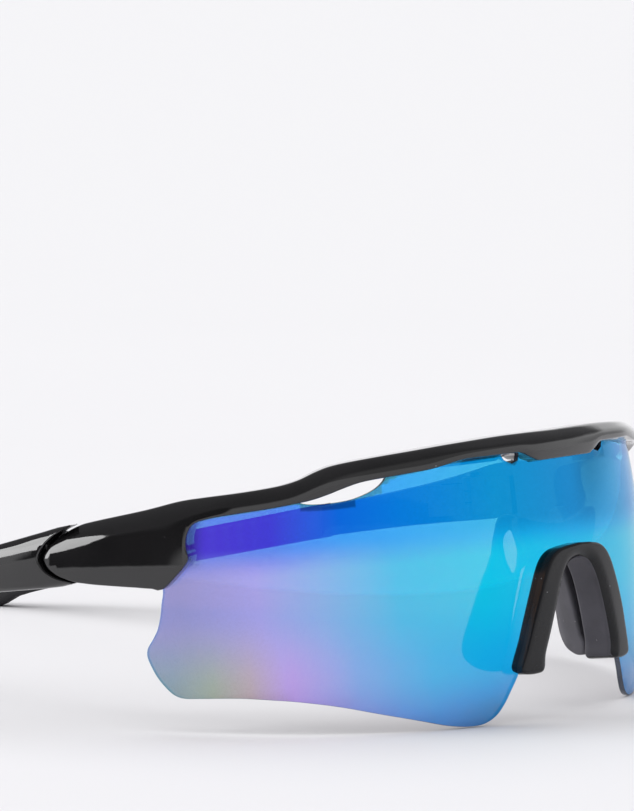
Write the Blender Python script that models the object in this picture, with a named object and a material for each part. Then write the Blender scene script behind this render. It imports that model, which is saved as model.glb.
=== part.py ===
"""Wraparound sport sunglasses with a one-piece shield lens.

Sizes are in millimetres up to the last step of each builder, where MM turns
them into metres. The design frame has +X towards the wearer's left, +Y from
the lens towards the ears and +Z up, and the glasses look along -Y. At rest
they stand on the two lens lobes and the two temple tips, so the whole
assembly hangs on an empty that is pitched by REST_PITCH.
"""
import bpy
import bmesh
import math
import numpy as np
from mathutils import Vector

MM = 0.001

# ------------------------------------------------------------ driving sizes
PLAN_A = 69.1          # half width of the shield's plan curve
PLAN_B = 80.0          # depth of the same curve, front to ear side
PLAN_P = 2.2           # its fullness: 2 is an ellipse, more is blunter in front
TORIC_R = 140.0        # vertical radius of the shield
EQUATOR = 28.0         # height of the shield's foremost line
REST_PITCH = 6.0       # degrees the glasses lean when put down
PITCH = math.radians(REST_PITCH)
REST_LIFT = 0.923      # lens lobes' lowest line below the design origin
REST_SHIFT = -96.59    # puts the origin under the middle of the box

LENS_T = 1.1           # shield thickness
SLOT_GAP = 0.3         # play between the shield and the parts it snaps into
FRAME_FRONT = 2.0      # brow's front face, ahead of the shield's mid surface
FRAME_BACK = 3.9       # brow's rear face, behind it
POD_SWELL = 0.28       # how much thicker the ends are than the brow
RIM = 0.7              # moulded edge round

HINGE_X = 64.5         # hinge pin, from the middle plane
HINGE_Y = 66.0
BARREL_R = 2.1
PIN_R = 0.62
BORE_R = 0.92
HINGE_Z0 = 32.2        # bottom of the lowest barrel
HINGE_Z1 = 39.8        # top of the highest barrel
LEAF_T = 1.2

TEMPLE_T = 4.4         # temple thickness at the hinge
SOCK_START = 105.0     # where the rubber sock begins
CORE_W, CORE_H = 1.8, 3.2   # temple core inside the sock
CORE_END = 173.0

WING_BACK = 9.6        # how far a nose wing reaches behind the bracket
WING_FLARE = 0.5       # outward run of a wing for each unit it goes back
WING_T = 2.0

COLOURS = {
    "frame": ((0.012, 0.012, 0.013, 1), 0.08, 0.0),
    "lens": ((0.10, 0.55, 0.95, 0.55), 0.03, 0.0),
    "nose": ((0.055, 0.055, 0.060, 1), 0.55, 0.0),
    "sock": ((0.020, 0.020, 0.022, 1), 0.60, 0.0),
    "steel": ((0.62, 0.62, 0.64, 1), 0.28, 1.0),
}

# ------------------------------------------------------- the shield surface
_T = np.linspace(0.0, math.radians(89.0), 3000)
_X = PLAN_A * np.sin(_T) ** (2 / PLAN_P)
_Y = PLAN_B * (1 - np.cos(_T) ** (2 / PLAN_P))
_U = np.concatenate([[0.0], np.cumsum(np.hypot(np.diff(_X), np.diff(_Y)))])


def shield(u, z, d):
    """Point u along the plan curve, at height z, d ahead of the surface."""
    t = float(np.interp(abs(u), _U, _T))
    slope = PLAN_B / PLAN_A * math.tan(t) ** (2 - 2 / PLAN_P)
    n = math.hypot(1.0, slope)
    d -= (z - EQUATOR) ** 2 / (2 * TORIC_R)
    x = PLAN_A * math.sin(t) ** (2 / PLAN_P) + slope / n * d
    y = PLAN_B * (1 - math.cos(t) ** (2 / PLAN_P)) - d / n
    return (math.copysign(x, u) if u else 0.0, y, z)


def u_at(y):
    """Length along the plan curve at depth y."""
    return float(np.interp(math.acos((1 - y / PLAN_B) ** (PLAN_P / 2)), _T, _U))


def brow_place(u, z, d):
    k = min(max((abs(u) - 66.0) / 22.0, 0.0), 1.0)
    return shield(u, z, d * (1 + POD_SWELL * k * k * (3 - 2 * k)))


# ------------------------------------------------------------ small helpers
def fair(points, steps=4, closed=False):
    """Catmull-Rom curve through the points."""
    p = [Vector(q) for q in points]
    n = len(p)
    out = []
    for i in range(n if closed else n - 1):
        a = p[(i - 1) % n] if closed or i else p[0] * 2 - p[1]
        b, c = p[i], p[(i + 1) % n]
        e = p[(i + 2) % n] if closed or i + 2 < n else p[-1] * 2 - p[-2]
        for k in range(steps):
            t = k / steps
            out.append(tuple(0.5 * (2 * b + (c - a) * t
                                    + (2 * a - 5 * b + 4 * c - e) * t * t
                                    + (3 * b - a - 3 * c + e) * t ** 3)))
    if not closed:
        out.append(tuple(p[-1]))
    return out


def mirrored(half):
    """Whole outline from its right half, listed from the middle round."""
    left = [(-u, z) for u, z in reversed(half) if abs(u) > 1e-6]
    return list(half) + left


def material(slot):
    mat = bpy.data.materials.get(slot)
    if mat is None:
        colour, rough, metal = COLOURS[slot]
        mat = bpy.data.materials.new(slot)
        mat.use_nodes = True
        bsdf = mat.node_tree.nodes["Principled BSDF"]
        bsdf.inputs["Base Color"].default_value = colour[:3] + (1,)
        bsdf.inputs["Roughness"].default_value = rough
        bsdf.inputs["Metallic"].default_value = metal
        bsdf.inputs["Alpha"].default_value = colour[3]
        mat.diffuse_color = colour
    return mat


def tidy(bm):
    bmesh.ops.remove_doubles(bm, verts=bm.verts, dist=1e-4)
    bmesh.ops.dissolve_degenerate(bm, edges=bm.edges, dist=1e-5)
    bmesh.ops.recalc_face_normals(bm, faces=bm.faces)


def new_object(name, bm, slot, collection):
    me = bpy.data.meshes.new(name)
    bm.to_mesh(me)
    bm.free()
    ob = bpy.data.objects.new(name, me)
    collection.objects.link(ob)
    if slot:
        me.materials.append(material(slot))
        me.shade_smooth()
        me.set_sharp_from_angle(angle=math.radians(32))
    else:
        ob.hide_render = True
        ob.display_type = "WIRE"
    ob.parent = rest
    return ob


def blank(name, outline, d0, d1, place, slot=None, rim=0.0, grow=0.0,
          cuts_u=(), cuts_z=(), levels=()):
    """A flat outline given thickness, sliced, and bent by place()."""
    cu = bpy.data.curves.new(name + "_outline", "CURVE")
    cu.dimensions = "2D"
    cu.fill_mode = "BOTH"
    sp = cu.splines.new("POLY")
    sp.points.add(len(outline) - 1)
    for p, q in zip(sp.points, outline):
        p.co = (q[0], q[1], 0, 1)
    sp.use_cyclic_u = True
    cu.extrude = (d1 - d0) / 2 - rim
    cu.offset = grow - rim
    cu.bevel_depth = rim
    cu.bevel_resolution = 1
    ob = bpy.data.objects.new(name + "_outline", cu)
    bpy.context.scene.collection.objects.link(ob)
    me = bpy.data.meshes.new_from_object(
        ob.evaluated_get(bpy.context.evaluated_depsgraph_get()))
    bpy.data.objects.remove(ob)
    bm = bmesh.new()
    bm.from_mesh(me)
    tidy(bm)
    bmesh.ops.dissolve_limit(bm, angle_limit=math.radians(0.3),
                             verts=bm.verts, edges=bm.edges)
    for v in bm.verts:
        v.co.z += (d0 + d1) / 2
    planes = ([((u, 0, 0), (1, 0, 0)) for u in cuts_u]
              + [((0, z, 0), (0, 1, 0)) for z in cuts_z]
              + [((0, 0, d), (0, 0, 1)) for d in levels])
    for co, no in planes:
        bmesh.ops.bisect_plane(bm, geom=bm.verts[:] + bm.edges[:] + bm.faces[:],
                               dist=1e-4, plane_co=co, plane_no=no)
    bmesh.ops.triangulate(bm, faces=bm.faces)
    for v in bm.verts:
        v.co = Vector(place(*v.co))
    tidy(bm)
    bmesh.ops.scale(bm, vec=(MM, MM, MM), verts=bm.verts)
    return new_object(name, bm, slot, parts if slot else cutters)


def box(name, lo, hi, slot=None):
    bm = bmesh.new()
    bmesh.ops.create_cube(bm, size=1.0)
    for v in bm.verts:
        v.co = Vector([(a + b) / 2 + (b - a) * c
                       for a, b, c in zip(lo, hi, v.co)]) * MM
    return new_object(name, bm, slot, parts if slot else cutters)


def drum(name, x, y, z0, z1, r, slot=None, sides=24, r2=None):
    bm = bmesh.new()
    bmesh.ops.create_cone(bm, cap_ends=True, segments=sides, radius1=r * MM,
                          radius2=(r if r2 is None else r2) * MM,
                          depth=(z1 - z0) * MM)
    bmesh.ops.translate(bm, vec=Vector((x, y, (z0 + z1) / 2)) * MM,
                        verts=bm.verts)
    return new_object(name, bm, slot, parts if slot else cutters)


def combine(ob, other, kind="DIFFERENCE", solver="EXACT"):
    mod = ob.modifiers.new(kind.lower() + "_" + other.name, "BOOLEAN")
    mod.operation = kind
    mod.solver = solver
    mod.object = other


def joined(name, ob, slot):
    """Bake an object's Boolean modifiers into its own mesh."""
    bpy.context.view_layer.update()
    dg = bpy.context.evaluated_depsgraph_get()
    me = bpy.data.meshes.new_from_object(ob.evaluated_get(dg))
    bm = bmesh.new()
    bm.from_mesh(me)
    tidy_m(bm)
    bpy.data.objects.remove(ob)
    return new_object(name, bm, slot, parts)


def tidy_m(bm):
    bmesh.ops.remove_doubles(bm, verts=bm.verts, dist=1e-6)
    bmesh.ops.dissolve_degenerate(bm, edges=bm.edges, dist=1e-7)


# ----------------------------------------------------------------- outlines
# Heights are for the right half, |u| from the middle plane outwards.
BROW_TOP = fair([(0, 51.35), (10, 51.4), (18, 51.3), (28, 50.9), (36, 50.4),
                 (42, 50.0), (48, 49.5), (51.7, 49.0), (54.5, 48.2),
                 (57.3, 47.15), (60, 46.5), (63, 46.1), (68, 45.7), (75, 45.3),
                 (80, 44.9), (86.5, 43.8), (u_at(55.5), 42.7)], 3)
POD_END = fair([(u_at(y), z) for y, z in
                [(57.6, 42.4), (59.7, 42.0), (61.8, 41.1), (64.0, 39.7),
                 (65.7, 38.0), (66.3, 36.6), (66.0, 35.6), (65.2, 34.4),
                 (63.6, 33.2), (61.7, 32.4), (59.7, 31.8)]], 2)
POD_UNDER = [(u_at(y), z) for y, z in [(56.7, 31.3), (52.8, 30.8),
                                       (48.8, 30.3), (46.0, 29.9)]]
POD_FRONT = fair([(83.9, 29.55), (82.6, 29.9), (80.6, 31.6), (78.6, 33.6),
                  (77.9, 34.9), (78.2, 36.9), (78.0, 38.9), (77.1, 40.5),
                  (75.6, 41.25), (72.9, 41.7)], 2)
BROW_UNDER = fair([(72.9, 41.7), (68.4, 42.1), (63, 42.5), (57.5, 43.1),
                   (55.0, 43.5), (52.3, 44.2), (50.4, 44.8), (47.5, 45.6),
                   (44.8, 46.0), (39.4, 46.4), (33.6, 46.8), (24, 46.9),
                   (14, 46.9), (9.6, 46.6), (8.2, 46.2), (4, 46.2),
                   (0, 46.2)], 2)
RECESS = [(9.2, 44.0), (9.8, 47.1), (11.3, 47.7), (14.3, 48.05),
          (23.7, 48.05), (29.3, 47.6), (33.1, 47.2), (34.9, 44.0)]

LENS_HALF = (
    [(0, 48.6), (11.6, 48.5), (12.6, 46.6), (14.2, 46.2), (16.0, 47.0),
     (16.8, 48.3), (28, 48.2), (36, 48.0), (40.4, 47.6)]
    + fair([(41.2, 46.6), (42.2, 45.4), (43.6, 44.4), (45.6, 43.55),
            (48.5, 42.8), (52.2, 42.5), (55.8, 42.6), (57.8, 43.1),
            (59.4, 43.9)], 2)
    + [(62.5, 44.2), (70, 43.8), (78.5, 43.1)]
    + fair([(81.6, 42.4), (83.6, 40.6), (84.3, 37.5), (84.2, 33),
            (83.4, 29.6), (83.9, 26.9), (84.2, 25.2), (85.0, 22.6),
            (86.1, 20.8), (87.2, 19.3), (87.5, 17.9), (87.0, 16.1),
            (86.0, 13.9), (84.5, 11.8), (83.1, 10.5), (81.4, 9.85),
            (78.5, 9.65), (71.3, 9.2), (65.9, 8.5), (60.6, 7.7),
            (53.4, 6.2), (46, 4.2), (38.3, 2.2), (33.2, 0.85), (29.6, 0.2),
            (26.6, 0.0), (24.2, 0.25), (21.8, 1.3), (19.9, 3.2), (18.3, 5.6),
            (16.9, 7.8), (16.0, 9.9)], 2)
    + fair([(14.6, 13.2), (12.6, 18.0), (10.6, 22.6), (8.6, 26.2),
            (6.2, 28.4), (3.2, 29.2), (0, 29.4)], 2))

BRACKET_HALF = (
    [(0, 30.5)]
    + fair([(3.5, 30.3), (6.4, 29.8), (8.5, 28.6), (10.2, 26.4),
            (12.0, 22.6), (13.9, 18.0), (15.5, 13.6), (16.9, 10.2),
            (17.1, 8.9), (16.2, 8.2), (13.6, 8.0), (11.4, 8.3),
            (10.5, 9.2), (10.3, 11.4), (8.8, 15.5), (7.1, 20.0),
            (5.5, 23.8), (3.7, 26.4), (1.9, 27.4), (0, 27.7)], 2))

# --------------------------------------------------- temple plan and height
TEMPLE_PLAN = [(50, 67.2), (57.6, 70.15), (62, 71.0), (66.5, 71.75),
               (73, 72.45), (80, 72.75), (88, 72.5), (98, 71.6), (110, 69.9),
               (122, 68.0), (133, 66.3), (146, 64.7), (160, 63.0),
               (174, 60.9), (184, 58.9), (194, 56.5)]
_PLAN = np.array(fair(TEMPLE_PLAN, 6))


def temple_face(y):
    """Half width of the temple's outer face at depth y."""
    return float(np.interp(y, _PLAN[:, 0], _PLAN[:, 1]))


def temple_place(t):
    """Bend a blank onto the temple's plan curve, t from its outer face in."""
    def place(y, z, d):
        x = temple_face(y)
        s = (temple_face(y + 0.5) - temple_face(y - 0.5))
        n = math.hypot(1.0, s)
        d = d - t(y)
        # the blank's level lines stay level once the glasses are put down
        return (x + d / n, y - s * d / n, z - s * d / n * math.tan(PITCH))
    return place


def floor_at(y):
    """Design height of the surface the glasses stand on, at depth y."""
    return (y * math.sin(PITCH) - REST_LIFT) / math.cos(PITCH)


END_CLEAR = 0.35       # gap of the seam between the frame's end and a temple
SEAM = fair([(58.2, 43.1), (60.0, 42.55), (62.2, 41.55), (64.45, 40.1),
             (66.2, 38.25), (66.85, 36.6), (66.5, 35.3), (65.6, 34.05),
             (63.9, 32.8), (61.9, 31.95), (60.3, 31.45)], 2)
TEMPLE_SIDE = (
    list(reversed(SEAM))
    + fair([(62.5, 42.3), (66, 41.3), (71, 40.2), (76.5, 39.2), (84, 38.1),
            (91, 37.15), (98, 36.3), (SOCK_START, 35.45)], 2)
    + fair([(SOCK_START, 29.3), (98, 29.75), (91, 30.15), (84, 30.5),
            (76.5, 30.75), (70, 30.9), (64.5, 31.0)], 2))
SOCK_SIDE = (
    fair([(SOCK_START + 0.35, 35.75), (112, 35.0), (120, 34.0), (133, 32.4),
          (146, 30.8), (160, 29.0), (172, 27.3), (181, 25.6), (187.5, 23.7),
          (190.8, 21.9), (191.6, 20.4)], 2)
    + [(190.6, floor_at(190.6) + 0.4), (189.0, floor_at(189.0)),
       (183.6, floor_at(183.6)), (182.4, floor_at(182.4) + 0.5)]
    + fair([(179.5, 20.1), (175, 21.0), (167, 22.1), (157, 23.3), (146, 24.5),
            (133, 25.9), (120, 27.4), (112, 28.3),
            (SOCK_START + 0.35, 29.0)], 2))


def core_line(y):
    """Middle height of the core that carries the sock."""
    return float(np.interp(y, [100, 112, 120, 133, 146, 160, 174],
                           [32.4, 31.6, 30.7, 29.15, 27.65, 26.0, 24.3]))


# -------------------------------------------------------------- nose wings
def leg_mid(z):
    """Middle of a bracket leg's rear face at height z."""
    return float(np.interp(z, [9, 11, 15.5, 20, 24, 27, 30, 34, 40],
                           [14.1, 13.4, 11.6, 9.8, 8.0, 6.6, 6.0, 7.0, 8.5]))


def wing_place(side):
    def place(a, z, d):
        x, y, _ = shield(leg_mid(z), z, -FRAME_BACK - 0.35)
        bow = 0.045 * a * a
        n = math.hypot(1.0, WING_FLARE)
        return (side * (x + WING_FLARE * a * (0.72 + 0.03 * a) + d / n),
                y + a - WING_FLARE * d / n + 0.0 * bow, z)
    return place


WING_SIDE = (
    [(0.3, 28.2)]
    + fair([(0.3, 35.0), (2.2, 36.6), (4.3, 36.3), (5.6, 33.9), (6.7, 30.9),
            (8.0, 25.6), (8.6, 20.0), (9.0, 15.0), (8.5, 12.2), (6.6, 10.1),
            (3.6, 8.8), (1.2, 8.8), (0.3, 9.6)], 3)
    + [(0.3, 11.2)]
    + fair([(1.1, 12.6), (1.6, 17.0), (1.9, 22.0), (1.9, 26.4)], 1))
WING_WINDOW = fair([(3.0, 33.8), (4.4, 32.6), (4.9, 30.4), (4.4, 27.9),
                    (3.3, 26.0), (2.8, 27.0), (2.7, 29.2), (2.7, 31.8)], 2,
                   closed=True)

# =================================================================== model
for ob in list(bpy.data.objects):
    bpy.data.objects.remove(ob)
parts = bpy.data.collections.new("sport_sunglasses")
cutters = bpy.data.collections.new("cutters")
bpy.context.scene.collection.children.link(parts)
bpy.context.scene.collection.children.link(cutters)

rest = bpy.data.objects.new("rest_frame", None)
parts.objects.link(rest)
rest.rotation_euler = (-PITCH, 0, 0)
rest.location = Vector((0, REST_SHIFT, REST_LIFT)) * MM

# ------------------------------------------------------------- shield lens
U_CUTS = [u * 5.2 for u in range(-20, 21)]
lens = blank("shield_lens", mirrored(LENS_HALF), -LENS_T / 2, LENS_T / 2,
             shield, "lens", cuts_u=U_CUTS, cuts_z=(8, 16, 24, 32, 40))

# -------------------------------------------------------------- brow frame
frame_half = (list(reversed(BROW_UNDER)) + POD_FRONT[::-1][1:] + POD_UNDER[::-1]
              + POD_END[::-1] + BROW_TOP[::-1][:-1])
frame_half = [frame_half[0]] + frame_half[1:] + [(0, 51.35)]
outline = frame_half[:-1] + [(0, 51.35)] + [(-u, z) for u, z in
                                            reversed(frame_half[1:-1])]
brow = blank("brow_blank", outline, -FRAME_BACK, FRAME_FRONT, brow_place,
             "frame", rim=RIM, cuts_u=U_CUTS, cuts_z=(34, 38, 42, 46))
slot_t = LENS_T / 2 + SLOT_GAP
lens_slot = blank("lens_slot", mirrored(LENS_HALF), -slot_t, slot_t, shield,
                  grow=SLOT_GAP, cuts_u=U_CUTS, cuts_z=(8, 16, 24, 32, 40))
combine(brow, lens_slot, solver="MANIFOLD")
for side in (-1, 1):
    tag = "right" if side < 0 else "left"
    recess = blank("recess_" + tag, [(side * u, z) for u, z in RECESS],
                   0.1, 5.0, shield, cuts_u=[u + side * 1.7 for u in U_CUTS])
    combine(brow, recess, solver="MANIFOLD")
    # seat of the front hinge leaf and the barrels' clearance
    lo, hi = sorted((side * 55.0, side * (HINGE_X - 0.8)))
    combine(brow, box("leaf_seat_" + tag, (lo, 53.5, 26), (hi, 74, 48)), solver="MANIFOLD")
    lo, hi = sorted((side * 55.0, side * (HINGE_X + 2.5)))
    combine(brow, box("barrel_room_" + tag, (lo, HINGE_Y - 2.6, 26),
                      (hi, 76, 48)), solver="MANIFOLD")
joined("brow_frame", brow, "frame")

# ------------------------------------------------------------ nose bracket
bracket = blank("bracket_blank", mirrored(BRACKET_HALF), -FRAME_BACK,
                FRAME_FRONT + 0.2, shield, "frame", rim=0.55,
                cuts_u=[u * 3.0 for u in range(-6, 7)],
                cuts_z=(12, 16, 20, 24, 28))
bracket_slot = blank("bracket_slot", mirrored(LENS_HALF), -slot_t, slot_t,
                     shield, grow=SLOT_GAP,
                     cuts_u=[u * 3.0 for u in range(-7, 8)],
                     cuts_z=(12, 16, 20, 24, 28))
combine(bracket, bracket_slot)
joined("nose_bracket", bracket, "frame")

# --------------------------------------------------------------- both sides
for side in (-1, 1):
    tag = "right" if side < 0 else "left"

    def flip(place, s=side):
        def out(a, z, d):
            x, y, h = place(a, z, d)
            return (s * x, y, h)
        return out

    # nose wing with its relief window
    wing = blank("wing_blank_" + tag, WING_SIDE, -WING_T / 2, WING_T / 2,
                 wing_place(side), "nose", rim=0.5,
                 cuts_u=(1.5, 3, 4.5, 6, 7.5), cuts_z=(12, 16, 20, 24, 28, 32))
    combine(wing, blank("wing_window_" + tag, WING_WINDOW, -4, 4,
                        wing_place(side)))
    joined("nose_pad_" + tag, wing, "nose")

    # temple: side plate, then the slim core that carries the sock
    thick = TEMPLE_T / 2
    Y_CUTS = [56 + 4.0 * k for k in range(36)]
    plate = blank("temple_blank_" + tag, TEMPLE_SIDE, -thick, thick,
                  flip(temple_place(lambda y: thick)), "frame", rim=0.9,
                  cuts_u=Y_CUTS, cuts_z=(34, 37))
    core = blank("core_" + tag,
                 [(y, core_line(y) + CORE_H / 2) for y in
                  (SOCK_START - 4, 112, 120, 133, 146, 160, CORE_END)]
                 + [(y, core_line(y) - CORE_H / 2) for y in
                    (CORE_END, 160, 146, 133, 120, 112, SOCK_START - 4)],
                 -CORE_W / 2, CORE_W / 2,
                 flip(temple_place(lambda y: thick)), cuts_u=Y_CUTS)
    combine(plate, core, "UNION")
    joined("temple_" + tag, plate, "frame")

    sock = blank("sock_blank_" + tag, SOCK_SIDE, -2.45, 2.45,
                 flip(temple_place(lambda y: thick)), "sock", rim=0.8,
                 cuts_u=Y_CUTS, cuts_z=())
    combine(sock, blank("sock_bore_" + tag,
                        [(y, core_line(y) + CORE_H / 2 + 0.3) for y in
                         (SOCK_START - 4, 112, 120, 133, 146, 160,
                          CORE_END + 0.4)]
                        + [(y, core_line(y) - CORE_H / 2 - 0.3) for y in
                           (CORE_END + 0.4, 160, 146, 133, 120, 112,
                            SOCK_START - 4)],
                        -CORE_W / 2 - 0.3, CORE_W / 2 + 0.3,
                        flip(temple_place(lambda y: thick)), cuts_u=Y_CUTS),
            solver="MANIFOLD")
    joined("ear_sock_" + tag, sock, "sock")

    # hinge: two outer barrels on the frame's leaf, one on the temple's
    hx = side * HINGE_X
    gap = 0.3
    b1, b2 = HINGE_Z0 + 2.5, HINGE_Z1 - 2.5
    lo, hi = sorted((side * (HINGE_X - 1.1 - LEAF_T), side * (HINGE_X - 1.1)))
    leaf = box("front_leaf_" + tag, (lo, 55.6, HINGE_Z0),
               (hi, HINGE_Y - 0.9, HINGE_Z1), "steel")
    for z0, z1 in ((HINGE_Z0, b1), (b2, HINGE_Z1)):
        combine(leaf, drum("front_barrel_%s_%d" % (tag, z0), hx, HINGE_Y,
                           z0, z1, BARREL_R), "UNION")
    combine(leaf, drum("front_bore_" + tag, hx, HINGE_Y, HINGE_Z0 - 2,
                       HINGE_Z1 + 2, BORE_R))
    combine(leaf, drum("swing_room_" + tag, hx, HINGE_Y, b1, b2,
                       BARREL_R + 0.35))
    joined("hinge_leaf_front_" + tag, leaf, "steel")

    lo, hi = sorted((side * (HINGE_X + 0.95), side * (HINGE_X + 0.95 + LEAF_T)))
    leaf = box("temple_leaf_" + tag, (lo, HINGE_Y + 0.3, b1 + gap),
               (hi, HINGE_Y + 13.0, b2 - gap), "steel")
    combine(leaf, box("temple_leaf_pad_" + tag, (lo, HINGE_Y + 3.0, HINGE_Z0),
                      (hi, HINGE_Y + 12.0, HINGE_Z1 - 1.4)), "UNION")
    combine(leaf, drum("temple_barrel_" + tag, hx, HINGE_Y, b1 + gap,
                       b2 - gap, BARREL_R), "UNION")
    combine(leaf, drum("temple_bore_" + tag, hx, HINGE_Y, HINGE_Z0 - 2,
                       HINGE_Z1 + 2, BORE_R))
    joined("hinge_leaf_temple_" + tag, leaf, "steel")

    screw = drum("screw_" + tag, hx, HINGE_Y, HINGE_Z0 - 0.3,
                 HINGE_Z1 + 0.9, PIN_R, "steel", sides=16)
    combine(screw, drum("screw_head_" + tag, hx, HINGE_Y, HINGE_Z1 + 0.3,
                        HINGE_Z1 + 1.0, 1.45, r2=1.2), "UNION")
    combine(screw, box("screw_slot_" + tag, (hx - 0.22, HINGE_Y - 2,
                                             HINGE_Z1 + 0.65),
                       (hx + 0.22, HINGE_Y + 2, HINGE_Z1 + 2)))
    joined("hinge_screw_" + tag, screw, "steel")
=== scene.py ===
import bpy
import bmesh
import math
import numpy as np
from mathutils import Matrix, Vector


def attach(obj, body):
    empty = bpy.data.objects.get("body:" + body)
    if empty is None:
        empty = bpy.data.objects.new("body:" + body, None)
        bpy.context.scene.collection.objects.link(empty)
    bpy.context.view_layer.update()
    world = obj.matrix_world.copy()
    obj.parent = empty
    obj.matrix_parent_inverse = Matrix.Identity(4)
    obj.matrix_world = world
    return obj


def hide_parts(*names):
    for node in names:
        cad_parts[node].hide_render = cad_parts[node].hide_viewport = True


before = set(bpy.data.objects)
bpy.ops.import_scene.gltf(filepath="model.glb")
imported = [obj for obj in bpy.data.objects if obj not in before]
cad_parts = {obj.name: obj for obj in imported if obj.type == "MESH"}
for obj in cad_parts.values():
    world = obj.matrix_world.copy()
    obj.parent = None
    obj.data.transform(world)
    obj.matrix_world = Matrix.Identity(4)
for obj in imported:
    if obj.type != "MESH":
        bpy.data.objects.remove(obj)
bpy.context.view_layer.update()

MM = 0.001

# ------------------------------------------------------------------ frame
# The design frame (lens forwards, level) sits in the row frame by one pitch.
PITCH = math.radians(6.0)
LIFT, SHIFT = 0.923, -96.59
TO_ROW = (Matrix.Translation(Vector((0, SHIFT, LIFT)) * MM)
          @ Matrix.Rotation(-PITCH, 4, "X"))

PLAN_A, PLAN_B, PLAN_P, TORIC_R, EQUATOR = 69.1, 80.0, 2.2, 140.0, 28.0
LENS_T = 1.1
BACK = 3.9
FRONT = 2.0
_T = np.linspace(0.0, math.radians(89.0), 3000)
_X = PLAN_A * np.sin(_T) ** (2 / PLAN_P)
_Y = PLAN_B * (1 - np.cos(_T) ** (2 / PLAN_P))
_U = np.concatenate([[0.0], np.cumsum(np.hypot(np.diff(_X), np.diff(_Y)))])


def shield(u, z, d):
    t = float(np.interp(abs(u), _U, _T))
    slope = PLAN_B / PLAN_A * math.tan(t) ** (2 - 2 / PLAN_P)
    n = math.hypot(1.0, slope)
    d -= (z - EQUATOR) ** 2 / (2 * TORIC_R)
    x = PLAN_A * math.sin(t) ** (2 / PLAN_P) + slope / n * d
    y = PLAN_B * (1 - math.cos(t) ** (2 / PLAN_P)) - d / n
    return (math.copysign(x, u) if u else 0.0, y, z)


def u_at(y):
    return float(np.interp(math.acos((1 - y / PLAN_B) ** (PLAN_P / 2)), _T, _U))


def smooth(a, b, x):
    k = min(max((x - a) / (b - a), 0.0), 1.0)
    return k * k * (3 - 2 * k)


def fair(points, steps=6, closed=False):
    p = [Vector(q) for q in points]
    n = len(p)
    out = []
    for i in range(n if closed else n - 1):
        a = p[(i - 1) % n] if closed or i else p[0] * 2 - p[1]
        b, c = p[i], p[(i + 1) % n]
        e = p[(i + 2) % n] if closed or i + 2 < n else p[-1] * 2 - p[-2]
        for k in range(steps):
            t = k / steps
            out.append(tuple(0.5 * (2 * b + (c - a) * t
                                    + (2 * a - 5 * b + 4 * c - e) * t * t
                                    + (3 * b - a - 3 * c + e) * t ** 3)))
    if not closed:
        out.append(tuple(p[-1]))
    return out


def mirrored(half):
    return list(half) + [(-u, z) for u, z in reversed(half) if abs(u) > 1e-6]


def arc_range(lo, hi, step):
    n = max(int(round(abs((hi - lo) / step))), 1)
    return [lo + (hi - lo) * i / n for i in range(n + 1)]


# -------------------------------------------------------------- node helpers
class Tree:
    def __init__(self, name):
        self.mat = bpy.data.materials.new(name)
        self.mat.use_nodes = True
        self.nt = self.mat.node_tree
        self.bsdf = self.nt.nodes["Principled BSDF"]
        self.out = self.nt.nodes["Material Output"]

    def n(self, kind, **kw):
        node = self.nt.nodes.new("ShaderNode" + kind)
        for k, v in kw.items():
            setattr(node, k, v)
        return node

    def link(self, a, b):
        self.nt.links.new(a, b)

    def set(self, **kw):
        for k, v in kw.items():
            self.bsdf.inputs[k.replace("_", " ")].default_value = v

    def coords(self, scale):
        tc = self.n("TexCoord")
        mp = self.n("Mapping")
        mp.inputs["Scale"].default_value = (scale, scale, scale)
        self.link(tc.outputs["Object"], mp.inputs["Vector"])
        return mp.outputs["Vector"]

    def noise(self, scale, detail=4.0, rough=0.5):
        node = self.n("TexNoise")
        node.inputs["Scale"].default_value = scale
        node.inputs["Detail"].default_value = detail
        node.inputs["Roughness"].default_value = rough
        tc = self.n("TexCoord")
        self.link(tc.outputs["Object"], node.inputs["Vector"])
        return node.outputs["Fac"]

    def ramp(self, fac, stops, mode="LINEAR"):
        node = self.n("ValToRGB")
        cr = node.color_ramp
        cr.interpolation = mode
        while len(cr.elements) < len(stops):
            cr.elements.new(0.5)
        for e, (p, c) in zip(cr.elements, stops):
            e.position = p
            e.color = (*c, 1) if len(c) == 3 else c
        self.link(fac, node.inputs["Fac"])
        return node.outputs["Color"]

    def math(self, op, a, b=None, clamp=False):
        node = self.n("Math", operation=op, use_clamp=clamp)
        for i, v in enumerate((a, b)):
            if v is None:
                continue
            if isinstance(v, (int, float)):
                node.inputs[i].default_value = v
            else:
                self.link(v, node.inputs[i])
        return node.outputs[0]

    def mix(self, fac, a, b):
        node = self.n("Mix", data_type="RGBA")
        for sock, v in ((node.inputs[0], fac), (node.inputs[6], a), (node.inputs[7], b)):
            if isinstance(v, (int, float)):
                sock.default_value = v
            elif isinstance(v, tuple):
                sock.default_value = (*v, 1) if len(v) == 3 else v
            else:
                self.link(v, sock)
        return node.outputs[2]

    def bump(self, height, strength, distance):
        node = self.n("Bump")
        node.inputs["Strength"].default_value = strength
        node.inputs["Distance"].default_value = distance
        self.link(height, node.inputs["Height"])
        self.link(node.outputs["Normal"], self.bsdf.inputs["Normal"])
        return node

    def specks(self, scale, size, keep):
        """Sparse dust: small cells of a Voronoi pattern, thinned by a mask."""
        v = self.n("TexVoronoi", feature="F1")
        v.inputs["Scale"].default_value = scale
        tc = self.n("TexCoord")
        self.link(tc.outputs["Object"], v.inputs["Vector"])
        near = self.math("LESS_THAN", v.outputs["Distance"], size)
        sep = self.n("SeparateColor")
        self.link(v.outputs["Color"], sep.inputs["Color"])
        pick = self.math("LESS_THAN", sep.outputs[0], keep)
        return self.math("MULTIPLY", near, pick)


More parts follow.
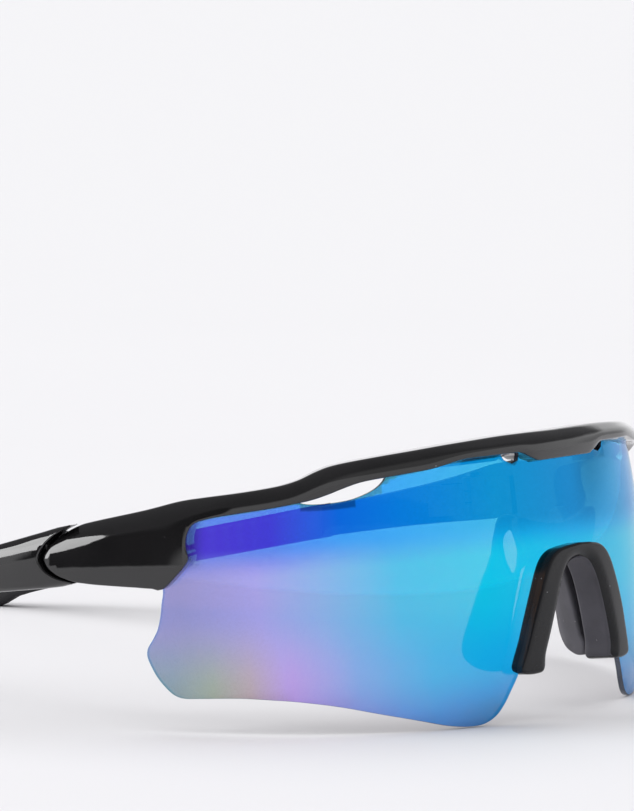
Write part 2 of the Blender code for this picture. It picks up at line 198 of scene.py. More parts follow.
def gloss_black(name, tint=(0.0055, 0.0053, 0.0056), rough=0.045, coat=0.45,
                spec=0.5):
    t = Tree(name)
    t.set(Roughness=rough, IOR=1.52, Metallic=0.0)
    t.bsdf.inputs["Coat Weight"].default_value = coat
    t.bsdf.inputs["Specular IOR Level"].default_value = spec
    t.bsdf.inputs["Coat Roughness"].default_value = 0.03
    cloud = t.noise(90.0, 3.0)
    col = t.ramp(cloud, [(0.35, tint), (0.75, tuple(c * 1.7 for c in tint))])
    dust = t.specks(900.0, 0.10, 0.03)
    col = t.mix(dust, col, (0.26, 0.26, 0.27))
    t.link(col, t.bsdf.inputs["Base Color"])
    smear = t.noise(45.0, 5.0, 0.6)
    r = t.n("MapRange")
    r.inputs["From Min"].default_value = 0.35
    r.inputs["From Max"].default_value = 0.8
    r.inputs["To Min"].default_value = rough
    r.inputs["To Max"].default_value = rough + 0.05
    t.link(smear, r.inputs["Value"])
    rr = t.math("ADD", r.outputs["Result"], t.math("MULTIPLY", dust, 0.5))
    t.link(rr, t.bsdf.inputs["Roughness"])
    t.bump(t.noise(230.0, 2.0), 0.05, 0.0005)
    return t.mat


def rubber(name, tint, rough=0.55, grain=0.25):
    t = Tree(name)
    t.set(Roughness=rough, IOR=1.45)
    t.bsdf.inputs["Specular IOR Level"].default_value = 0.45
    col = t.ramp(t.noise(160.0, 5.0), [(0.3, tuple(c * 0.8 for c in tint)),
                                       (0.7, tuple(c * 1.2 for c in tint))])
    dust = t.specks(1100.0, 0.12, 0.05)
    col = t.mix(dust, col, (0.33, 0.33, 0.34))
    t.link(col, t.bsdf.inputs["Base Color"])
    grainy = t.noise(3800.0, 2.0)
    t.bump(grainy, grain, 0.00008)
    rr = t.n("MapRange")
    rr.inputs["To Min"].default_value = rough - 0.08
    rr.inputs["To Max"].default_value = rough + 0.1
    t.link(t.noise(420.0, 3.0), rr.inputs["Value"])
    t.link(rr.outputs["Result"], t.bsdf.inputs["Roughness"])
    return t.mat


def steel(name):
    t = Tree(name)
    t.set(Metallic=1.0, Roughness=0.38)
    col = t.ramp(t.noise(700.0, 4.0), [(0.3, (0.045, 0.045, 0.048)),
                                       (0.75, (0.085, 0.083, 0.082))])
    t.link(col, t.bsdf.inputs["Base Color"])
    tc = t.n("TexCoord")
    mp = t.n("Mapping")
    mp.inputs["Scale"].default_value = (4000, 4000, 160)
    t.link(tc.outputs["Object"], mp.inputs["Vector"])
    brush = t.n("TexNoise")
    brush.inputs["Scale"].default_value = 1.0
    t.link(mp.outputs["Vector"], brush.inputs["Vector"])
    t.bump(brush.outputs["Fac"], 0.18, 0.00005)
    rr = t.n("MapRange")
    rr.inputs["To Min"].default_value = 0.28
    rr.inputs["To Max"].default_value = 0.5
    t.link(brush.outputs["Fac"], rr.inputs["Value"])
    t.link(rr.outputs["Result"], t.bsdf.inputs["Roughness"])
    return t.mat


# Colours that the mirror coating sends back at four heights: partly the coating's own colour, partly painted
# reflection of the room in it.
# Each row runs from the side of the shield to its middle, and is the same on both halves.
def lens_row(stops, k=1.0):
    stops = [(u, tuple(k * v for v in c)) for u, c in stops]
    out = [(0.5 - u / 180.0, c) for u, c in stops]
    out += [(0.5 + u / 180.0, c) for u, c in reversed(stops) if u > 0]
    return out


ROW_TOP = lens_row([(80, (.085, .038, .63)), (62, (.055, .040, .66)),
                    (50, (.004, .14, .76)), (40, (.002, .20, .72)),
                    (20, (.002, .28, .63)), (0, (.004, .25, .60))])
ROW_MID = lens_row([(80, (.19, .29, .64)), (66, (.26, .35, .84)),
                    (55, (.13, .43, .95)), (42, (.003, .51, .98)),
                    (25, (.002, .57, .98)), (0, (.02, .50, .92))], 0.875)
ROW_LOW = lens_row([(84, (.14, .36, .45)), (76, (.24, .42, .38)),
                    (69, (.38, .40, .48)), (61, (.38, .34, .90)),
                    (50, (.13, .40, .97)), (36, (.01, .45, .97)),
                    (18, (.003, .42, .94)), (0, (.12, .30, .72))], 0.875)
ROW_FOOT = lens_row([(80, (.16, .34, .37)), (70, (.28, .30, .38)),
                     (61, (.27, .25, .56)), (50, (.15, .28, .78)),
                     (36, (.05, .33, .82)), (22, (.02, .28, .66)),
                     (0, (.16, .22, .54))], 0.875)
ROW_SEE = lens_row([(80, (1.0, .35, .12)), (55, (.98, .35, .12)),
                    (42, (.62, .34, .14)), (25, (.52, .34, .15)),
                    (12, (.75, .35, .15)), (0, (.8, .35, .15))])

COAT_LOW, COAT_TOP = 0.80, 0.70


def lens_front(name):
    t = Tree(name)
    uv = t.n("UVMap")
    uv.uv_map = "lens"
    sep = t.n("SeparateXYZ")
    t.link(uv.outputs["UV"], sep.inputs["Vector"])
    u, v = sep.outputs[0], sep.outputs[1]
    # slow drift of the coating and its painted reflection bands, so the bands aren't ruled lines
    drift = t.math("MULTIPLY", t.math("SUBTRACT", t.noise(22.0, 2.0), 0.5), 0.03)
    u = t.math("ADD", u, drift)
    rise = t.math("MULTIPLY", t.math("SUBTRACT", t.noise(30.0, 2.0), 0.5), 0.05)
    v = t.math("ADD", v, rise)
    # painted reflection: these four height rows paint in what the mirror reflects, on top of the coating's own
    # colour
    top, mid, low, foot = (t.ramp(u, r) for r in (ROW_TOP, ROW_MID, ROW_LOW, ROW_FOOT))

    def step(lo, hi):
        m = t.n("MapRange", interpolation_type="SMOOTHSTEP")
        m.inputs["From Min"].default_value = lo / 55.0
        m.inputs["From Max"].default_value = hi / 55.0
        t.link(v, m.inputs["Value"])
        return m.outputs["Result"]
    col = t.mix(step(0, 11), foot, low)
    col = t.mix(step(10, 25), col, mid)
    col = t.mix(step(30, 36.5), col, top)
    # what the dye lets through, warmer low down and greener at the top
    see = t.mix(step(30, 36.5), t.ramp(u, ROW_SEE), (0.22, 0.95, 0.88))
    k = t.n("Mix", data_type="RGBA", blend_type="MULTIPLY")
    k.inputs[0].default_value = 1.0
    t.link(col, k.inputs[6])
    # grain is random tone, and its level of 1.34 to 1.43 is a painted brightening: it makes the mirror return
    # more light than falls on it
    grain = t.ramp(t.noise(2600.0, 2.0), [(0.3, (1.34, 1.34, 1.34)),
                                          (0.7, (1.43, 1.43, 1.43))])
    t.link(grain, k.inputs[7])
    t.link(k.outputs[2], t.bsdf.inputs["Base Color"])
    t.set(Metallic=1.0, Roughness=0.05)
    t.bump(t.noise(70.0, 1.0), 0.02, 0.0006)
    clear = t.n("BsdfTransparent")
    t.link(see, clear.inputs["Color"])
    m = t.n("MixShader")
    cover = t.n("MapRange", interpolation_type="SMOOTHSTEP")
    cover.inputs["From Min"].default_value = 30 / 55.0
    cover.inputs["From Max"].default_value = 36.5 / 55.0
    cover.inputs["To Min"].default_value = COAT_LOW
    cover.inputs["To Max"].default_value = COAT_TOP
    t.link(v, cover.inputs["Value"])
    t.link(cover.outputs["Result"], m.inputs[0])
    t.link(clear.outputs[0], m.inputs[1])
    t.link(t.bsdf.outputs[0], m.inputs[2])
    # the mirror layer is on the outer face only: from inside, smoke tint
    smoke = t.n("BsdfTransparent")
    smoke.inputs["Color"].default_value = (0.30, 0.29, 0.31, 1)
    geo = t.n("NewGeometry")
    both = t.n("MixShader")
    t.link(geo.outputs["Backfacing"], both.inputs[0])
    t.link(m.outputs[0], both.inputs[1])
    t.link(smoke.outputs[0], both.inputs[2])
    t.link(both.outputs[0], t.out.inputs["Surface"])
    return t.mat


def lens_back(name, tint=(0.90, 0.88, 0.86), cover=0.06, rough=0.03):
    t = Tree(name)
    t.set(Roughness=rough, IOR=1.58)
    col = t.ramp(t.noise(120.0, 3.0), [(0.3, (0.010, 0.011, 0.013)),
                                       (0.7, (0.018, 0.019, 0.022))])
    t.link(col, t.bsdf.inputs["Base Color"])
    clear = t.n("BsdfTransparent")
    clear.inputs["Color"].default_value = (*tint, 1)
    m = t.n("MixShader")
    m.inputs[0].default_value = cover
    t.link(clear.outputs[0], m.inputs[1])
    t.link(t.bsdf.outputs[0], m.inputs[2])
    t.link(m.outputs[0], t.out.inputs["Surface"])
    return t.mat


M_FRAME = gloss_black("frame_gloss_black")
M_BRACKET = gloss_black("bracket_gloss_black", (0.008, 0.008, 0.009), 0.17, 0.0,
                        0.28)
M_NOSE = rubber("nose_rubber_grey", (0.062, 0.060, 0.072), 0.5)
M_SOCK = rubber("sock_rubber_black", (0.014, 0.014, 0.016), 0.62)
M_STEEL = steel("hinge_black_steel")
M_LENS = lens_front("lens_mirror_coat_painted_reflection")
M_LENS_BACK = lens_back("lens_rear_face")
M_LENS_EDGE = lens_back("lens_cut_edge", (0.25, 0.30, 0.42), 0.72, 0.18)


# ------------------------------------------------------------ mesh building
def blank(name, outlines, d0, d1, place, mats, rim=0.0, seg=4, cuts_u=(),
          cuts_z=(), levels=(), uv=None, split=None, warp=None,
          flip=False):
    """Flat outlines given thickness and rounded rims, sliced finely, bent."""
    cu = bpy.data.curves.new(name + "_outline", "CURVE")
    cu.dimensions = "2D"
    cu.fill_mode = "BOTH"
    for outline in outlines:
        sp = cu.splines.new("POLY")
        sp.points.add(len(outline) - 1)
        for p, q in zip(sp.points, outline):
            p.co = (q[0], q[1], 0, 1)
        sp.use_cyclic_u = True
    cu.extrude = (d1 - d0) / 2 - rim
    cu.offset = -rim
    cu.bevel_depth = rim
    cu.bevel_resolution = seg
    ob = bpy.data.objects.new(name + "_outline", cu)
    bpy.context.scene.collection.objects.link(ob)
    me = bpy.data.meshes.new_from_object(
        ob.evaluated_get(bpy.context.evaluated_depsgraph_get()))
    bpy.data.objects.remove(ob)
    bm = bmesh.new()
    bm.from_mesh(me)
    bmesh.ops.remove_doubles(bm, verts=bm.verts, dist=1e-4)
    bmesh.ops.recalc_face_normals(bm, faces=bm.faces)
    # the two flat faces become one n-gon each before they are sliced
    flat = [f for f in bm.faces if abs(f.normal.z) > 0.9999]
    bmesh.ops.dissolve_limit(
        bm, angle_limit=math.radians(0.2), verts=[],
        edges=[e for e in bm.edges if all(abs(f.normal.z) > 0.9999
                                          for f in e.link_faces)])
    for v in bm.verts:
        v.co.z += (d0 + d1) / 2
    for f in bm.faces:
        f.material_index = split(f) if split else 0
        f.smooth = True
    planes = ([((0, z, 0), (0, 1, 0)) for z in cuts_z]
              + [((0, 0, d), (0, 0, 1)) for d in levels]
              + [((u, 0, 0), (1, 0, 0)) for u in cuts_u])
    for co, no in planes:
        bmesh.ops.bisect_plane(bm, geom=bm.verts[:] + bm.edges[:] + bm.faces[:],
                               dist=1e-4, plane_co=co, plane_no=no)
    layer = bm.loops.layers.uv.new(uv) if uv else None
    if layer:
        for f in bm.faces:
            for lp in f.loops:
                c = lp.vert.co
                lp[layer].uv = (c.x / 180.0 + 0.5, c.y / 55.0)
    bmesh.ops.triangulate(bm, faces=[f for f in bm.faces if len(f.verts) > 4])
    for v in bm.verts:
        c = warp(*v.co) if warp else v.co
        v.co = Vector(place(*c)) * MM
    if flip:
        bmesh.ops.reverse_faces(bm, faces=bm.faces)
    bm.transform(TO_ROW)
    me = bpy.data.meshes.new(name)
    bm.to_mesh(me)
    bm.free()
    for m in mats:
        me.materials.append(m)
    ob = bpy.data.objects.new(name, me)
    bpy.context.scene.collection.objects.link(ob)
    return ob


def finish_piece(ob, body, nodes, angle=38):
    ob.data.set_sharp_from_angle(angle=math.radians(angle))
    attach(ob, body)
    if nodes:
        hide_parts(*nodes)
    return ob


# ---------------------------------------------------------------- outlines
BROW_TOP = fair([(0, 51.35), (10, 51.4), (18, 51.3), (28, 50.9), (36, 50.4),
                 (42, 50.0), (48, 49.5), (51.7, 49.0), (54.5, 48.2),
                 (57.3, 47.15), (60, 46.5), (63, 46.1), (68, 45.7), (75, 45.3),
                 (80, 44.9), (86.5, 43.8), (u_at(55.5), 42.7)])
POD_END = fair([(u_at(y), z) for y, z in
                [(57.6, 42.4), (59.7, 42.0), (61.8, 41.1), (64.0, 39.7),
                 (65.7, 38.0), (66.3, 36.6), (66.0, 35.6), (65.2, 34.4),
                 (63.6, 33.2), (61.7, 32.4), (59.7, 31.8)]], 5)
POD_UNDER = [(u_at(y), z) for y, z in [(56.7, 31.3), (52.8, 30.8),
                                       (48.8, 30.3), (46.0, 29.9)]]
POD_FRONT = fair([(83.9, 29.55), (82.6, 29.9), (80.6, 31.6), (78.6, 33.6),
                  (77.9, 34.9), (78.2, 36.9), (78.0, 38.9), (77.1, 40.5),
                  (75.6, 41.25), (72.9, 41.7)], 5)
BROW_UNDER = fair([(72.9, 41.7), (68.4, 42.1), (63, 42.5), (57.5, 43.1),
                   (55.0, 43.5), (52.3, 44.2), (50.4, 44.8), (47.5, 45.6),
                   (44.8, 46.0), (39.4, 46.4), (33.6, 46.8), (24, 46.9),
                   (14, 46.9), (9.6, 46.6), (8.2, 46.2), (4, 46.2),
                   (0, 46.2)], 5)
half = (BROW_UNDER[::-1] + POD_FRONT[::-1][1:] + POD_UNDER[::-1]
        + POD_END[::-1] + BROW_TOP[::-1])
BROW = half[:-1] + [(0, 51.35)] + [(-u, z) for u, z in reversed(half[1:-1])]

LENS_HALF = (
    [(0, 48.6), (11.6, 48.5), (12.6, 46.6), (14.2, 46.2), (16.0, 47.0),
     (16.8, 48.3), (28, 48.2), (36, 48.0), (40.4, 47.6)]
    + fair([(41.2, 46.6), (42.2, 45.4), (43.6, 44.4), (45.6, 43.55),
            (48.5, 42.8), (52.2, 42.5), (55.8, 42.6), (57.8, 43.1),
            (59.4, 43.9)], 5)
    + [(62.5, 44.2), (70, 43.8), (78.5, 43.1)]
    + fair([(81.6, 42.4), (83.6, 40.6), (84.3, 37.5), (84.2, 33),
            (83.4, 29.6), (83.9, 26.9), (84.2, 25.2), (85.0, 22.6),
            (86.1, 20.8), (87.2, 19.3), (87.5, 17.9), (87.0, 16.1),
            (86.0, 13.9), (84.5, 11.8), (83.1, 10.5), (81.4, 9.85),
            (78.5, 9.65), (71.3, 9.2), (65.9, 8.5), (60.6, 7.7),
            (53.4, 6.2), (46, 4.2), (38.3, 2.2), (33.2, 0.85), (29.6, 0.2),
            (26.6, 0.0), (24.2, 0.25), (21.8, 1.3), (19.9, 3.2), (18.3, 5.6),
            (16.9, 7.8), (16.0, 9.9)], 4)
    + fair([(14.6, 13.2), (12.6, 18.0), (10.6, 22.6), (8.6, 26.2),
            (6.2, 28.4), (3.2, 29.2), (0, 29.4)], 3))

ARCH_IN = [(10.3, 11.4), (8.8, 15.5), (7.1, 20.0), (5.5, 23.8), (3.7, 26.4),
           (1.9, 27.4), (0, 27.7)]
BRACKET_HALF = (
    [(0, 30.5)]
    + fair([(3.5, 30.3), (6.4, 29.8), (8.5, 28.6), (10.2, 26.4),
            (12.0, 22.6), (13.9, 18.0), (15.5, 13.6), (16.9, 10.2),
            (17.1, 8.9), (16.2, 8.2), (13.6, 8.0), (11.4, 8.3),
            (10.5, 9.2)] + ARCH_IN, 4))

TEMPLE_PLAN = [(50, 67.2), (57.6, 70.15), (62, 71.0), (66.5, 71.75),
               (73, 72.45), (80, 72.75), (88, 72.5), (98, 71.6), (110, 69.9),
               (122, 68.0), (133, 66.3), (146, 64.7), (160, 63.0),
               (174, 60.9), (184, 58.9), (194, 56.5)]
_PLAN = np.array(fair(TEMPLE_PLAN, 8))
THICK = 2.2


def temple_face(y):
    return float(np.interp(y, _PLAN[:, 0], _PLAN[:, 1]))


def arm_top(y):
    return float(np.interp(y, [56, 58, 60, 62.5, 66, 71, 76.5, 84, 91, 98, 105.4],
                           [42.7, 42.45, 42.17, 41.85, 41.15, 40.2, 39.2, 38.1,
                            37.15, 36.3, 35.4]))


def arm_low(y):
    return float(np.interp(y, [56, 60, 64.5, 70, 76.5, 84, 91, 98, 105.4],
                           [31.6, 31.35, 31.05, 30.9, 30.75, 30.5, 30.15,
                            29.75, 29.25]))


def temple_place(side):
    def place(y, z, d):
        x = temple_face(y)
        s = temple_face(y + 0.5) - temple_face(y - 0.5)
        n = math.hypot(1.0, s)
        d = d - THICK
        return (side * (x + d / n), y - s * d / n,
                z - s * d / n * math.tan(PITCH))
    return place


def floor_at(y):
    return (y * math.sin(PITCH) - LIFT) / math.cos(PITCH)


SOCK_START = 105.0
SEAM = fair([(59.72, 42.05), (61.83, 41.2), (64.03, 39.76), (65.75, 38.0),
             (66.37, 36.6), (66.07, 35.5), (65.22, 34.27), (63.58, 33.05),
             (61.65, 32.25), (60.0, 31.68)], 5)
# the arm's flat shape, as length and tenths of its height there
TEMPLE_SIDE = (
    [(y, 10 * min(max((z - arm_low(y)) / (arm_top(y) - arm_low(y)), 0), 1))
     for y, z in SEAM[::-1]]
    + [(y, 10.0) for y in arc_range(60.5, SOCK_START + 1.2, 2.5)]
    + [(y, 0.0) for y in arc_range(SOCK_START + 1.2, 62.5, -2.5)])
SOCK_SIDE = (
    fair([(SOCK_START + 0.35, 35.75), (112, 35.0), (120, 34.0), (133, 32.4),
          (146, 30.8), (160, 29.0), (172, 27.3), (181, 25.6), (187.5, 23.7),
          (190.8, 21.9), (191.6, 20.4)], 4)
    + [(190.6, floor_at(190.6) + 0.4), (189.0, floor_at(189.0)),
       (183.6, floor_at(183.6)), (182.4, floor_at(182.4) + 0.5)]
    + fair([(179.5, 20.1), (175, 21.0), (167, 22.1), (157, 23.3), (146, 24.5),
            (133, 25.9), (120, 27.4), (112, 28.3),
            (SOCK_START + 0.35, 29.0)], 4))


def leg_mid(z):
    return float(np.interp(z, [9, 11, 15.5, 20, 24, 27, 30, 34, 40],
                           [14.1, 13.4, 11.6, 9.8, 8.0, 6.6, 6.0, 7.0, 8.5]))


WING_SIDE = (
    [(0.3, 28.2)]
    + fair([(0.3, 35.0), (2.2, 36.6), (4.3, 36.3), (5.6, 33.9), (6.7, 30.9),
            (8.0, 25.6), (8.6, 20.0), (9.0, 15.0), (8.5, 12.2), (6.6, 10.1),
            (3.6, 8.8), (1.2, 8.8), (0.3, 9.6)], 6)
    + [(0.3, 11.2)]
    + fair([(1.1, 12.6), (1.6, 17.0), (1.9, 22.0), (1.9, 26.4)], 3))
WING_WINDOW = fair([(3.0, 33.8), (4.4, 32.6), (4.9, 30.4), (4.4, 27.9),
                    (3.3, 26.0), (2.8, 27.0), (2.7, 29.2), (2.7, 31.8)], 5,
                   closed=True)
WEB_HALF = ([(0, 34.2)]
            + fair([(4, 34.6), (8, 35.3), (11.0, 36.2), (12.6, 36.0),
                    (12.8, 34.4), (11.8, 32.2), (10.6, 30.4)], 4)
            + fair([(9.4, 28.6), (7.6, 29.6), (4.6, 30.4), (0, 30.7)], 4))

# ------------------------------------------------------------------- lens
lens = blank(
    "shield", [mirrored(LENS_HALF)], -LENS_T / 2, LENS_T / 2, shield,
    [M_LENS, M_LENS_BACK, M_LENS_EDGE], rim=0.14, seg=1,
    cuts_u=arc_range(-87, 87, 1.6), cuts_z=arc_range(1.5, 47, 2.2), uv="lens",
    split=lambda f: 0 if f.normal.z > 0.9 else 1 if f.normal.z < -0.9 else 2)
finish_piece(lens, "front", ["shield_lens"])

# ------------------------------------------------------------------- brow
_TU = np.array([q for q in BROW_TOP])


def brow_top(u):
    a = abs(u)
    if a > _TU[-1, 0]:
        return float(_TU[-1, 1] - 0.12 * (a - _TU[-1, 0]))
    return float(np.interp(a, _TU[:, 0], _TU[:, 1]))


def brow_warp(u, w, d):
    """w is the height below the top edge, so the slices follow the edge."""
    a = abs(u)
    z = w + brow_top(u)
    # front lip stands higher than the rear wall between the tabs
    lift = 1.15 * smooth(9.0, 13.5, a) * (1 - smooth(25.0, 35.0, a))
    lift *= smooth(-0.1, 0.5, d)
    # open right through above the slot in the lens
    lift = max(lift, 0.8 * smooth(10.4, 12.6, a) * (1 - smooth(14.2, 17.2, a)))
    z = z + lift * max(0.0, (50.3 - z) / 3.4)
    k = smooth(-BACK, FRONT, d)
    pod = smooth(68, 82, a)
    face = 0.35 * (1 - pod)
    e = -w
    reach = 2.6 + 1.2 * pod
    if e < reach:
        face -= (1.9 - 0.5 * pod) * ((reach - e) / reach) ** 2.2
    face += 0.45 * smooth(16, 26, a) * (1 - smooth(48, 58, a))
    # the bar swells a little above its lower edge
    face -= (1 - pod) * 0.5 * smooth(3.2, 5.2, e)
    face -= pod * (z - 34.0) ** 2 / 60.0
    return (u, z, d + face * k)


def brow_place(u, z, d):
    return shield(u, z, d * (1 + 0.28 * smooth(66, 88, abs(u))))


brow = blank("brow", [[(u, z - brow_top(u)) for u, z in BROW]], -BACK, FRONT,
             brow_place, [M_FRAME], rim=0.32, seg=3,
             cuts_u=arc_range(-104, 104, 1.4),
             cuts_z=[-.35, -.7, -1.05, -1.4, -1.8, -2.3, -2.9, -3.6, -4.4, -5.3,
                     -6.3, -7.3, -8.3, -9.3, -10.3, -11.2, -12.0],
             levels=(-2.2, -0.7, 0.7), warp=brow_warp)
# pocket for the hinge behind each pod
for side in (-1, 1):
    for x1, y0 in ((63.7, 53.5), (67.0, 63.4)):
        bm = bmesh.new()
        bmesh.ops.create_cube(bm, size=1.0)
        lo, hi = sorted((side * 54.0, side * x1))
        for v in bm.verts:
            v.co = Vector(((lo + hi) / 2 + (hi - lo) * v.co.x,
                           (y0 + 78) / 2 + (78 - y0) * v.co.y,
                           37 + 24 * v.co.z)) * MM
        bm.transform(TO_ROW)
        me = bpy.data.meshes.new("pocket")
        bm.to_mesh(me)
        bm.free()
        cutter = bpy.data.objects.new("pocket", me)
        bpy.context.scene.collection.objects.link(cutter)
        mod = brow.modifiers.new("pocket", "BOOLEAN")
        mod.operation = "DIFFERENCE"
        mod.solver = "MANIFOLD"
        mod.object = cutter
        bpy.context.view_layer.update()
        dg = bpy.context.evaluated_depsgraph_get()
        cut = bpy.data.meshes.new_from_object(brow.evaluated_get(dg))
        brow.modifiers.clear()
        brow.data = cut
        bpy.data.objects.remove(cutter)
for p in brow.data.polygons:
    p.use_smooth = True
finish_piece(brow, "front", ["brow_frame"])

# ----------------------------------------------------------- nose bracket
_IN = np.array(fair([(10.9, 7.6), (10.5, 9.2)] + ARCH_IN, 30))


def inner_gap(u, z):
    return float(np.hypot(_IN[:, 0] - abs(u), _IN[:, 1] - z).min())


def bracket_warp(u, z, d):
    if d > 0.2:
        near = 1 - smooth(0.0, 1.5, inner_gap(u, z))
        d -= 0.9 * near * smooth(0.2, 2.2, d)
    return (u, z, d)


def bracket_split(f):
    """The walls that face the nose are matte rubber."""
    c = f.calc_center_median()
    inside = inner_gap(c.x, c.y) < 1.3 and c.y > 8.6
    return 1 if inside and (abs(f.normal.z) < 0.8 or c.z < -3.0) else 0


bracket = blank("nose_clip", [mirrored(BRACKET_HALF)], -BACK, FRONT + 0.4,
                shield, [M_BRACKET, M_NOSE], rim=0.6, seg=4,
                cuts_u=arc_range(-17, 17, 0.7), cuts_z=arc_range(8.5, 30, 0.8),
                levels=(-2.6, -1.3, 0.2, 1.0), warp=bracket_warp,
                split=bracket_split)
finish_piece(bracket, "front", ["nose_bracket"], 50)
web = blank("nose_saddle", [mirrored(WEB_HALF)], -3.3, -1.3, shield, [M_NOSE],
            rim=0.5, seg=3, cuts_u=arc_range(-12, 12, 1.0),
            cuts_z=arc_range(29, 36, 0.8))
finish_piece(web, "front", [], 55)

# -------------------------------------------------------------- both sides
for side in (-1, 1):
    tag = "right" if side < 0 else "left"
    arm = "arm_" + tag

    def wing_place(a, z, d, s=side):
        x, y, _ = shield(leg_mid(z), z, -BACK - 0.35)
        n = math.hypot(1.0, 0.5)
        return (s * (x + 0.5 * a * (0.72 + 0.03 * a) + d / n),
                y + a - 0.5 * d / n, z)

    def wing_warp(a, z, d):
        # thin towards the free edge, full in the middle
        k = 1.0 - 0.45 * smooth(5.5, 9.6, a)
        return (a, z, d * k)

    wing = blank("nose_wing_" + tag, [WING_SIDE, WING_WINDOW], -1.0, 1.0,
                 wing_place, [M_NOSE], rim=0.55, seg=3,
                 cuts_u=arc_range(0.6, 9.3, 0.7), cuts_z=arc_range(9, 31, 0.8),
                 warp=wing_warp, flip=side < 0)
    finish_piece(wing, "front", ["nose_pad_" + tag], 55)

    def temple_warp(y, w, d):
        low, top = arm_low(y), arm_top(y)
        z = low + (top - low) * w / 10.0
        k = smooth(-THICK, THICK, d)
        mid = (top + low) / 2 - 0.2
        face = -((z - mid) ** 2) / 24.0
        e = top - z
        if e < 1.5:
            face -= 0.75 * ((1.5 - e) / 1.5) ** 2
        e = z - low
        if e < 1.2:
            face -= 0.7 * ((1.2 - e) / 1.2) ** 2
        # the crease that runs off the seam along the lower edge
        crease = math.exp(-((z - low - 1.0 - 0.06 * (y - 66)) / 0.30) ** 2)
        face -= 0.14 * crease * smooth(63.5, 66, y) * (1 - smooth(70, 76, y))
        crease = math.exp(-((top - z - 0.9 + 0.10 * (y - 70)) / 0.45) ** 2)
        face -= 0.08 * crease * smooth(64, 67, y) * (1 - smooth(72, 77, y))
        # flush with the pod at the seam
        face += 0.25 * (1 - smooth(58, 68, y))
        return (y, z, d + face * k)

    temple = blank("side_arm_" + tag, [TEMPLE_SIDE], -THICK, THICK,
                   temple_place(side), [M_FRAME], rim=0.28, seg=3,
                   cuts_u=arc_range(58, 105, 1.2),
                   cuts_z=[.25, .55, .9, 1.3, 1.8, 2.4, 3.1, 3.9, 4.7, 5.5,
                           6.3, 7.1, 7.8, 8.4, 8.9, 9.3, 9.6, 9.85],
                   levels=(-1.2, 0.0, 1.1), warp=temple_warp, flip=side < 0)
    finish_piece(temple, arm, ["temple_" + tag], 45)

    def sock_warp(y, z, d):
        grip = 0.22 * math.sin((y - 118) * 2 * math.pi / 3.2) * smooth(118, 122, y) * (1 - smooth(160, 164, y))
        k = smooth(-2.45, -1.0, -d)
        return (y, z, d - (-grip) * k * (1 if d < 0 else 0))

    sock = blank("ear_grip_" + tag, [SOCK_SIDE], -2.45, 2.45,
                 temple_place(side), [M_SOCK], rim=1.35, seg=5,
                 cuts_u=arc_range(106, 191, 0.8),
                 cuts_z=arc_range(19, 35, 1.6), warp=sock_warp,
                flip=side < 0)
    finish_piece(sock, arm, ["ear_sock_" + tag], 60)

for name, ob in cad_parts.items():
    if name.startswith("hinge_"):
        ob.data.materials.clear()
        ob.data.materials.append(M_STEEL)

# ------------------------------------------------------- floor, light, view
ft = Tree("studio_floor")
ft.set(Roughness=0.8)
ft.bsdf.inputs["Specular IOR Level"].default_value = 0.15
tc = ft.n("TexCoord")
sep = ft.n("SeparateXYZ")
ft.link(tc.outputs["Object"], sep.inputs["Vector"])
far = ft.n("MapRange", interpolation_type="SMOOTHSTEP")
far.inputs["From Min"].default_value = -0.2
far.inputs["From Max"].default_value = 1.6
ft.link(sep.outputs[1], far.inputs["Value"])
paper = ft.ramp(ft.noise(2.5, 3.0), [(0.3, (0.735, 0.728, 0.745)),
                                     (0.7, (0.755, 0.748, 0.765))])
ft.link(ft.mix(far.outputs["Result"], paper, (0.745, 0.742, 0.754)),
        ft.bsdf.inputs["Base Color"])
ft.bump(ft.noise(900.0, 3.0), 0.05, 0.0004)
bpy.ops.mesh.primitive_grid_add(x_subdivisions=8, y_subdivisions=8, size=30.0)
floor = bpy.context.object
floor.name = "floor"
floor.data.materials.append(ft.mat)
# its +Y runs away from the camera's side
floor.rotation_euler = (0, 0, -math.radians(53.65))

sun_data = bpy.data.lights.new("soft_key", "SUN")
sun_data.energy = 1.9
sun_data.angle = math.radians(36)
sun = bpy.data.objects.new("soft_key", sun_data)
bpy.context.scene.collection.objects.link(sun)
sun.rotation_euler = Vector((0.70, -0.66, -0.46)).to_track_quat("-Z", "Y").to_euler()

fill_data = bpy.data.lights.new("soft_top", "SUN")
fill_data.energy = 2.1
fill_data.angle = math.radians(90)
fill = bpy.data.objects.new("soft_top", fill_data)
bpy.context.scene.collection.objects.link(fill)
fill.visible_glossy = False
fill.rotation_euler = Vector((-0.1, -0.15, -1.0)).to_track_quat("-Z", "Y").to_euler()

world = bpy.data.worlds.new("studio")
bpy.context.scene.world = world
world.use_nodes = True
wn = world.node_tree
bg = wn.nodes["Background"]
wtc = wn.nodes.new("ShaderNodeTexCoord")


def wnode(kind, **kw):
    n = wn.nodes.new("ShaderNode" + kind)
    for k, v in kw.items():
        setattr(n, k, v)
    return n


def along(direction, lo, hi):
    """0 to 1 as the sky direction leans from lo to hi towards an axis."""
    dot = wnode("VectorMath", operation="DOT_PRODUCT")
    wn.links.new(wtc.outputs["Generated"], dot.inputs[0])
    dot.inputs[1].default_value = direction
    m = wnode("MapRange", interpolation_type="SMOOTHSTEP")
    m.inputs["From Min"].default_value = lo
    m.inputs["From Max"].default_value = hi
    wn.links.new(dot.outputs["Value"], m.inputs["Value"])
    return m.outputs["Result"]


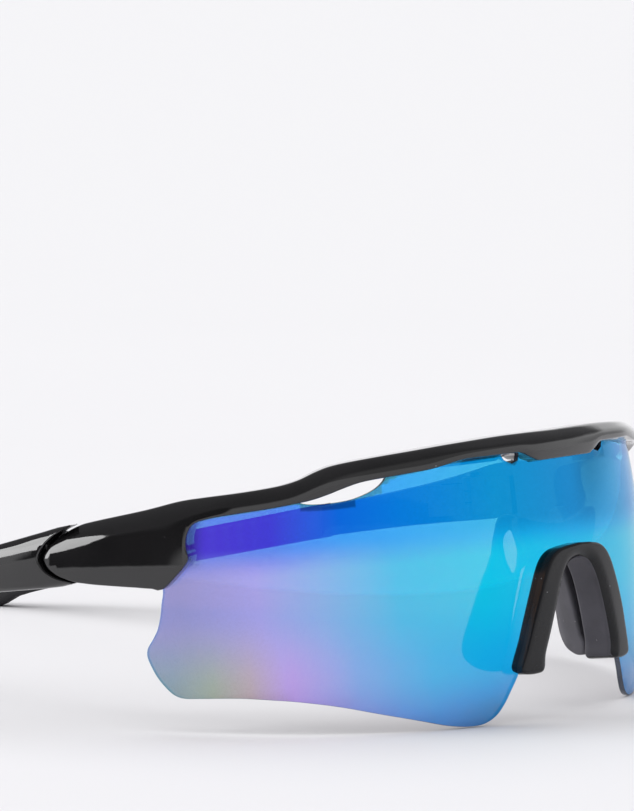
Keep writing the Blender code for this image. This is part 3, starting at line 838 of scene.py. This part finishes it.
def times(a, b):
    m = wnode("Math", operation="MULTIPLY")
    wn.links.new(a, m.inputs[0])
    wn.links.new(b, m.inputs[1])
    return m.outputs[0]


def wmix(fac, a, b):
    m = wnode("Mix", data_type="RGBA")
    wn.links.new(fac, m.inputs[0])
    for sock, v in ((m.inputs[6], a), (m.inputs[7], b)):
        if isinstance(v, tuple):
            sock.default_value = (*v, 1)
        else:
            wn.links.new(v, sock)
    return m.outputs[2]


# white walls low down, a dim ceiling, and a black screen at the left rear
sky = wmix(along((0, 0, 1), 0.34, 0.46), (0.98, 0.98, 1.0), (0.20, 0.20, 0.21))
ceiling = along((0, -1, 0), 0.45, 0.75)
sky = wmix(times(ceiling, along((0, 0, 1), 0.34, 0.46)), sky, (0.48, 0.48, 0.49))
shade = times(along((0.97, -0.23, 0), 0.93, 0.99), along((0, 0, 1), 0.0, 0.12))
sky = wmix(shade, sky, (0.60, 0.60, 0.62))
screen = times(times(along((-0.96, 0.28, 0), 0.74, 0.84), along((0, 0, 1), 0.02, 0.05)),
               times(along((0.28, 0.96, 0), -0.50, -0.38), along((-0.28, -0.96, 0), -0.26, -0.20)))
sky = wmix(screen, sky, (0.06, 0.06, 0.065))
wn.links.new(sky, bg.inputs["Color"])
bg.inputs["Strength"].default_value = 1.0

cam_data = bpy.data.cameras.new("camera")
cam_data.lens = 5898.37 * 36.0 / 811.0
cam_data.sensor_width = 36.0
cam_data.clip_start = 0.01
camera = bpy.data.objects.new("camera", cam_data)
bpy.context.scene.collection.objects.link(camera)
az, el, roll = math.radians(53.6548), math.radians(5.3313), math.radians(0.0782)
fwd = Vector((math.sin(az) * math.cos(el), math.cos(az) * math.cos(el), -math.sin(el)))
right = Vector((math.cos(az), -math.sin(az), 0))
up = right.cross(fwd)
r2 = right * math.cos(roll) + up * math.sin(roll)
u2 = -right * math.sin(roll) + up * math.cos(roll)
m = Matrix((r2, u2, -fwd)).transposed().to_4x4()
m.translation = Vector((-0.88615, -0.68814, 0.15574))
camera.matrix_world = m
bpy.context.scene.camera = camera
bpy.context.scene.view_settings.view_transform = "Standard"
